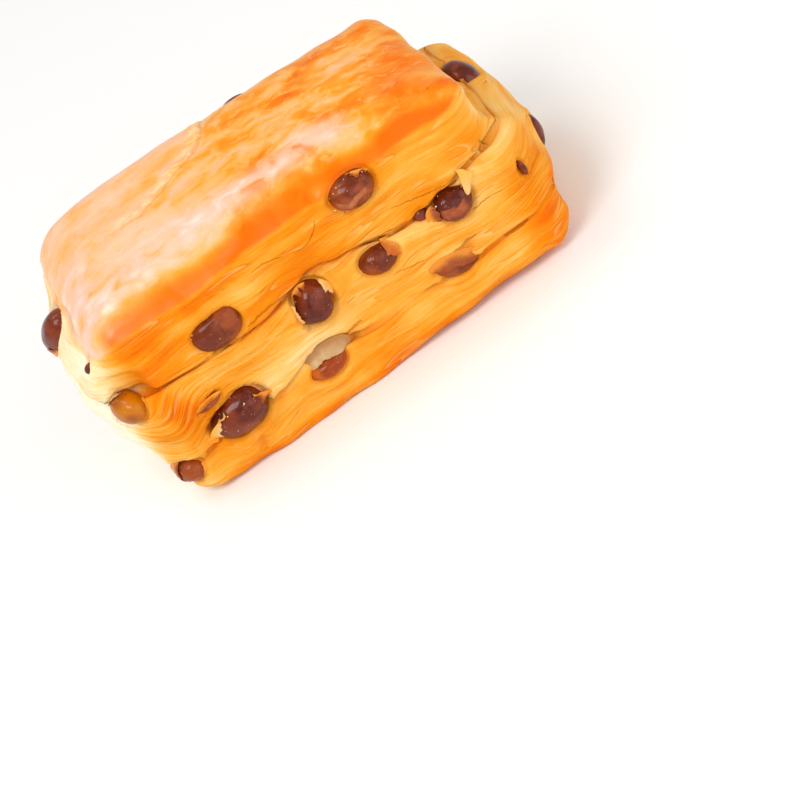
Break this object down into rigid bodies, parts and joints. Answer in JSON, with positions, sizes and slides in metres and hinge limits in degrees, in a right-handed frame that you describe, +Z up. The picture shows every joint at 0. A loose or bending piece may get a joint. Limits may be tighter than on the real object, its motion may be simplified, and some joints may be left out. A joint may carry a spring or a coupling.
{
  "type": "red bean bread",
  "caption": "Small oblong loaf of folded, layered dough with a glazed orange crust and candied red beans showing in its sides.",
  "frame": {"origin": "under the middle of the loaf, on the surface that it rests on", "axes": "+X along the loaf, -Y out of its front, +Z up"},
  "size_m": [0.1076, 0.0578, 0.05],
  "materials": {
    "bread": "baked dough with a glossy egg glaze on top",
    "bean_dark": "glossy candied bean, dark purple brown",
    "bean_brown": "glossy candied bean, red brown",
    "bean_amber": "glossy candied bean, amber"
  },
  "bodies": {
    "root": {"bread": "bread", "bean_01": "bean_brown", "bean_02": "bean_dark", "bean_03": "bean_dark", "bean_04": "bean_brown", "bean_05": "bean_dark", "bean_06": "bean_brown", "bean_07": "bean_dark", "bean_08": "bean_brown", "bean_09": "bean_brown", "bean_10": "bean_brown", "bean_11": "bean_brown", "bean_12": "bean_dark", "bean_13": "bean_amber", "bean_14": "bean_dark", "bean_15": "bean_dark", "bean_16": "bean_dark", "bean_17": "bean_brown", "bean_18": "bean_brown", "bean_19": "bean_dark", "bean_20": "bean_dark", "bean_21": "bean_brown", "bean_22": "bean_dark", "bean_23": "bean_dark", "bean_24": "bean_brown", "bean_25": "bean_dark", "bean_26": "bean_dark", "bean_27": "bean_amber", "bean_28": "bean_brown", "bean_29": "bean_dark", "bean_30": "bean_brown"}
  },
  "joints": []
}
